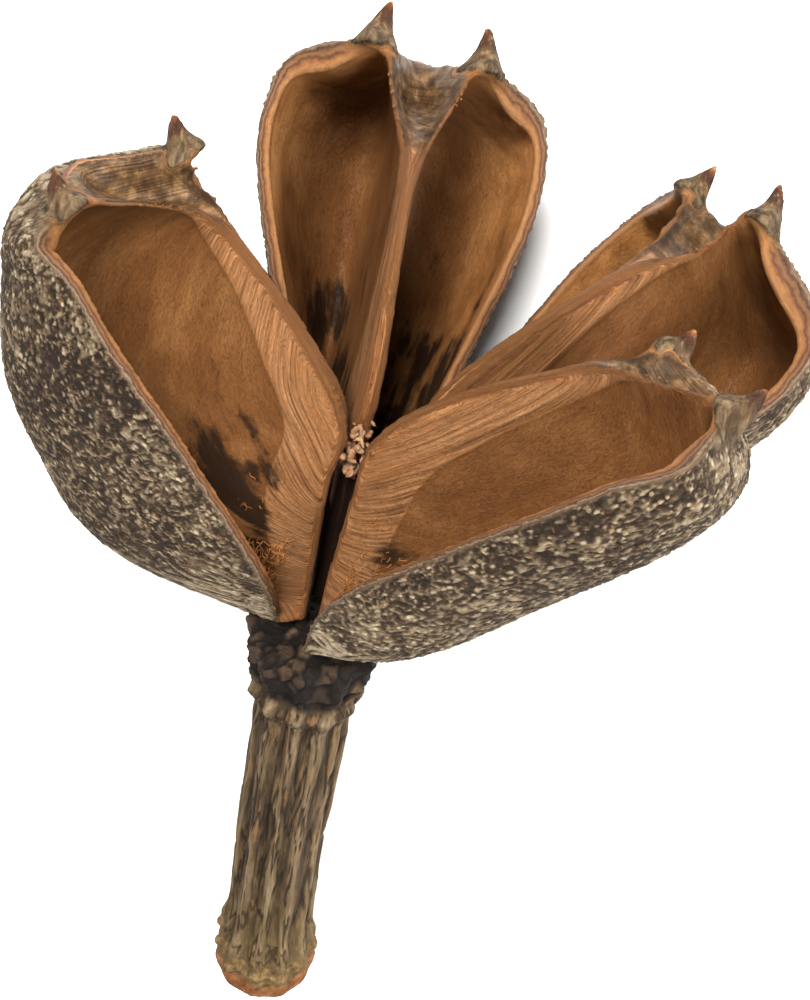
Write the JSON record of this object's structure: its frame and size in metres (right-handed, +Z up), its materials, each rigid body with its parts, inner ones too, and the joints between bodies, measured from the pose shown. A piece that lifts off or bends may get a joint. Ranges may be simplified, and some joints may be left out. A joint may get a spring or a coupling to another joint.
{
  "type": "seed capsule",
  "caption": "Dried woody seed capsule split into gaping horned valves, each with a seed wall down its middle, on a ribbed cut stalk; it lies on its back.",
  "frame": {"origin": "centre of the footprint, on the surface that the capsule lies on", "axes": "+Z up from the surface; +Y along the capsule's length, from the cut end of the stalk to the tips of the valves; +X to the right when it is seen from above with the stalk toward the viewer"},
  "size_m": [0.0458, 0.0734, 0.0293],
  "materials": {
    "valve_wood": "matte",
    "stalk_bark": "rough"
  },
  "bodies": {
    "root": {"valve_left": "valve_wood", "valve_back": "valve_wood", "valve_right": "valve_wood", "valve_front": "valve_wood", "stalk": "stalk_bark"}
  },
  "joints": []
}
